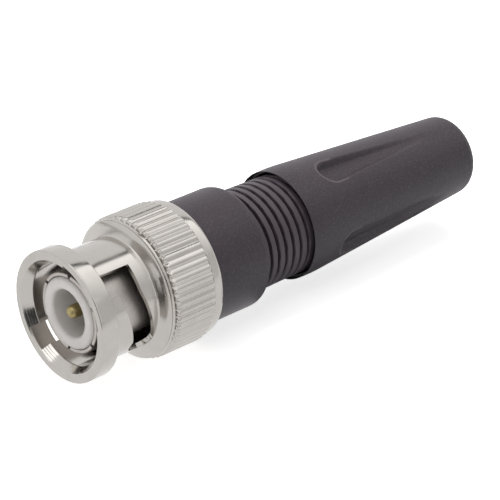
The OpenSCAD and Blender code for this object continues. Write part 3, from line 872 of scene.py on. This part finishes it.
# The columns crowd together at the flutes
crowding = 0.6
even_phi = even_columns(320)
cap_phi = even_phi - crowding / flute_count * np.sin(flute_count * (even_phi - flute_angle))
cap_x, cap_rows = cap_profile[:, :1], cap_profile[:, 1:]
on_taper = (np.arange(len(cap_x)) < rows_before_taper + len(taper_line))[:, None]
screw_cap = new_piece("screw_cap_fluted", ring_surface(
    cap_x, cap_rows - on_taper * flute_cut(cap_x, cap_phi, cap_rows), cap_phi), black_plastic)
add_wear_and_sheen(screw_cap, flute_wear_and_sheen)
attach(screw_cap, "screw_cap")
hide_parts("screw_cap")

# Stage: a white table that the nut touches, in a white room with soft lamps above, behind and in front.
# The room shows white to the camera and in mirrors, and lights dull surfaces more gently.
floor_z = cad_box[0].z - 0.0001
floor_half = 2.0
table_glow = 0.72
room_light = 0.24
middle = np.array([0.024, 0, 0])


def flat_sheet(name, half_length, half_width, height, material):
    """A flat rectangle at a height, centred on Z. Each corner is a pair of signs times the two half sizes."""
    signs = np.array([(-1, -1), (1, -1), (1, 1), (-1, 1)])
    corners = np.insert(signs * (half_length, half_width), 2, height, 1)
    mesh = bpy.data.meshes.new(name)
    mesh.from_pydata(corners, [], [(0, 1, 2, 3)])
    mesh.materials.append(material)
    sheet = bpy.data.objects.new(name, mesh)
    bpy.context.scene.collection.objects.link(sheet)
    return sheet


def place_at(obj, position, back, up):
    """Puts a camera, lamp or card at a position, looking along -back, with up towards its top."""
    back = np.array(back, float) / np.linalg.norm(back)
    right = np.cross(up, back)
    right /= np.linalg.norm(right)
    matrix = np.eye(4)
    matrix[:3, :3] = np.stack([right, np.cross(back, right), back], 1)
    matrix[:3, 3] = position
    obj.matrix_world = Matrix(matrix)


# White table: matte white paper, which glows a little to the camera so that it shows white.
white_table = bpy.data.materials.new("white_table")
tree = bare_tree(white_table)
paper = add(tree, "ShaderNodeBsdfDiffuse", None, {"Color": linear("#f4f4f4")})
path = add(tree, "ShaderNodeLightPath")
glow_level = add(tree, "ShaderNodeMath", {"operation": "MULTIPLY"},
                 {0: path.outputs["Is Camera Ray"], 1: table_glow})
glow = add(tree, "ShaderNodeEmission", None, {"Strength": glow_level.outputs["Value"]})
both = add(tree, "ShaderNodeAddShader", None, {0: paper.outputs["BSDF"], 1: glow.outputs["Emission"]})
add(tree, "ShaderNodeOutputMaterial", None, {"Surface": both.outputs["Shader"]})
floor = flat_sheet("floor", floor_half, floor_half, floor_z, white_table)

# White room: full strength for the camera, mirrors and glass, and less for rays that light dull surfaces.
world = bpy.data.worlds.new("white_room")
bpy.context.scene.world = world
tree = bare_tree(world)
path = add(tree, "ShaderNodeLightPath")
direct = add(tree, "ShaderNodeMath", {"operation": "MAXIMUM"},
             {0: path.outputs["Is Camera Ray"], 1: path.outputs["Is Glossy Ray"]})
seen = add(tree, "ShaderNodeMath", {"operation": "MAXIMUM"},
           {0: direct.outputs["Value"], 1: path.outputs["Is Transmission Ray"]})
level = add(tree, "ShaderNodeMapRange", None,
            {"Value": seen.outputs["Value"], "To Min": room_light, "To Max": 1.0})
room = add(tree, "ShaderNodeBackground", None, {"Color": (1, 1, 1, 1), "Strength": level.outputs["Result"]})
add(tree, "ShaderNodeOutputWorld", None, {"Surface": room.outputs["Background"]})

# Lamps: name, place from the plug's middle and side in metres, and watts. Mirrors do not see them.
lamps = [
    ("top_softbox", (0.10, 0.12, 0.40), 0.30, 1.4),
    ("rear_softbox", (0.16, 0.28, 0.30), 0.26, 0.5),
    ("front_softbox", (-0.44, -0.03, 0.06), 0.12, 0.28),
    ("high_softbox", (-0.22, -0.14, 0.36), 0.24, 0.38),
]
for name, offset, side, watts in lamps:
    light = bpy.data.lights.new(name, "AREA")
    light.shape = "SQUARE"
    light.size = side
    light.energy = watts
    lamp = bpy.data.objects.new(name, light)
    lamp.visible_glossy = False
    bpy.context.scene.collection.objects.link(lamp)
    place_at(lamp, middle + offset, offset, (0, 1, 0))

# Cards round the stage, which only mirrors see: painted reflections, which draw the dark and bright streaks
# on the nickel.
# The table card lies under the mouth over the floor's shadow, a painted reflection of bright table that
# brightens in mirrors what faces down and the flange's front face.
# Columns: name, place from the plug's middle, the way it faces (None is towards the middle), half length and
# half width, and its brightness at the two ends of its own Y axis, with an even run between them.
table_card_z = floor_z + 0.0002
cards = [
    ("dark_strip", (0.165, 0.065, 0.242), None, 0.16, 0.014, 0.05, 0.05),
    ("soft_panel", (0.165, -0.096, 0.238), None, 0.16, 0.15, 0.8, 1.75),
    ("grey_panel", (0.18, -0.23, 0.07), None, 0.20, 0.09, 0.76, 0.76),
    ("bright_panel", (-0.184, 0.02, 0.24), None, 0.05, 0.075, 2.2, 2.2),
    ("dark_panel", (-0.155, -0.130, 0.03), None, 0.05, 0.07, 0.05, 0.05),
    ("dark_screen", (-0.053, -0.028, 0.007), None, 0.013, 0.0145, 0.05, 0.05),
    ("painted_table_reflection", (-0.0275, 0, table_card_z), (0, 0, 1), 0.0265, 0.03, 0.98, 0.98),
]
for name, offset, facing, half_length, half_width, low_level, high_level in cards:
    paint = bpy.data.materials.new(name)
    tree = bare_tree(paint)
    place = add(tree, "ShaderNodeTexCoord").outputs["Object"]
    axes = add(tree, "ShaderNodeSeparateXYZ", None, {"Vector": place})
    level = add(tree, "ShaderNodeMapRange", None,
                {"Value": axes.outputs["Y"], "From Min": -half_width, "From Max": half_width,
                 "To Min": low_level, "To Max": high_level})
    sheen = add(tree, "ShaderNodeEmission", None, {"Strength": level.outputs["Result"]})
    add(tree, "ShaderNodeOutputMaterial", None, {"Surface": sheen.outputs["Emission"]})
    card = flat_sheet(name, half_length, half_width, 0, paint)
    facing = facing or offset
    place_at(card, middle + offset, facing, np.cross(facing, (1, 0, 0)))
    card.visible_camera = False
    card.visible_diffuse = False
    card.visible_transmission = False
    card.visible_shadow = False

# Camera: a long lens about 0.22 m from the mouth, in front of it, above it and on its -Y side.
# Its place and direction were fitted to the outlines of the flange, the knurl, the collar and the tail.
camera_at = np.array([-117.73, -155.56, 110.32]) * MM
camera_back = (-0.595, -0.6527, 0.4691)
camera_data = bpy.data.cameras.new("camera")
camera_data.sensor_width = 36
camera_data.lens = 172.8
camera_data.clip_start = 0.01
camera = bpy.data.objects.new("camera", camera_data)
bpy.context.scene.collection.objects.link(camera)
place_at(camera, camera_at, camera_back, (0, 0, 1))
bpy.context.scene.camera = camera
bpy.context.scene.view_settings.view_transform = "Standard"
